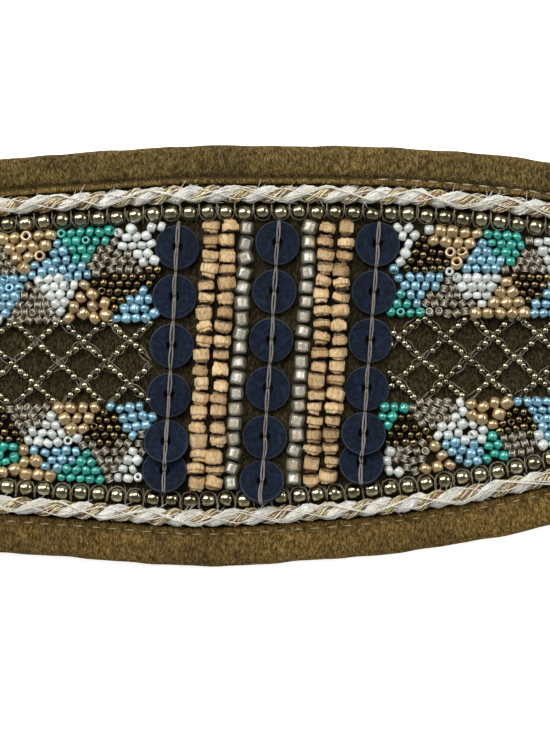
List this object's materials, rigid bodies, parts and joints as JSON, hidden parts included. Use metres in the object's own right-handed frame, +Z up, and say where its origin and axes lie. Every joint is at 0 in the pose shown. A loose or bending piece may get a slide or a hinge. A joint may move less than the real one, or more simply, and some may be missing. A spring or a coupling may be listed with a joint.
{
  "type": "beaded belt",
  "caption": "Wide tapering suede waist belt with bead columns, a seed bead mosaic and a bead net between twisted trim cords, closed by an end hook in slots.",
  "frame": {"origin": "under the middle of the belt's bounding box, on the surface that it lies on", "axes": "+X along the belt towards its slotted tip, +Y across it towards the upper edge of the picture, +Z up out of the beadwork"},
  "size_m": [0.92, 0.0925, 0.0097],
  "materials": {
    "suede": "soft olive-brown suede with a short, uneven nap",
    "trim_cord": "two strands twisted together, one fuzzy and off-white, one of gold and copper metallic thread",
    "bronze_beads": "glass with a polished metallic bronze coat",
    "navy_discs": "matt navy-dyed coconut shell with a fine grain",
    "wood_beads": "bare pale wood, cut by hand, with rough and chipped ends",
    "silver_beads": "clear glass with a bright silver lining that shows champagne in places",
    "seed_beads": "glossy seed beads in patches of white, sky blue, teal, tan, bronze and clear glass",
    "clasp_metal": "plain antique brass"
  },
  "bodies": {
    "root": {"suede_panel": "suede", "suede_strap_left": "suede", "suede_strap_right": "suede", "edging_panel_upper": "suede", "edging_panel_lower": "suede", "edging_strap_left_upper": "suede", "edging_strap_left_lower": "suede", "edging_strap_right_upper": "suede", "edging_strap_right_lower": "suede", "trim_cord_upper": "trim_cord", "trim_cord_lower": "trim_cord", "bronze_bead_row_upper": "bronze_beads", "bronze_bead_row_lower": "bronze_beads", "disc_left_1": "navy_discs", "disc_left_2": "navy_discs", "disc_left_3": "navy_discs", "disc_left_4": "navy_discs", "disc_left_5": "navy_discs", "disc_left_6": "navy_discs", "disc_middle_1": "navy_discs", "disc_middle_2": "navy_discs", "disc_middle_3": "navy_discs", "disc_middle_4": "navy_discs", "disc_middle_5": "navy_discs", "disc_middle_6": "navy_discs", "disc_right_1": "navy_discs", "disc_right_2": "navy_discs", "disc_right_3": "navy_discs", "disc_right_4": "navy_discs", "disc_right_5": "navy_discs", "disc_right_6": "navy_discs", "wood_bead_string_1": "wood_beads", "wood_bead_string_2": "wood_beads", "wood_bead_string_3": "wood_beads", "wood_bead_string_4": "wood_beads", "silver_bead_string_1": "silver_beads", "silver_bead_string_2": "silver_beads", "seed_mosaic_upper_left": "seed_beads", "seed_mosaic_lower_left": "seed_beads", "seed_mosaic_upper_right": "seed_beads", "seed_mosaic_lower_right": "seed_beads", "bead_net_left": "bronze_beads", "bead_net_right": "bronze_beads", "end_clasp": "clasp_metal"}
  },
  "joints": []
}
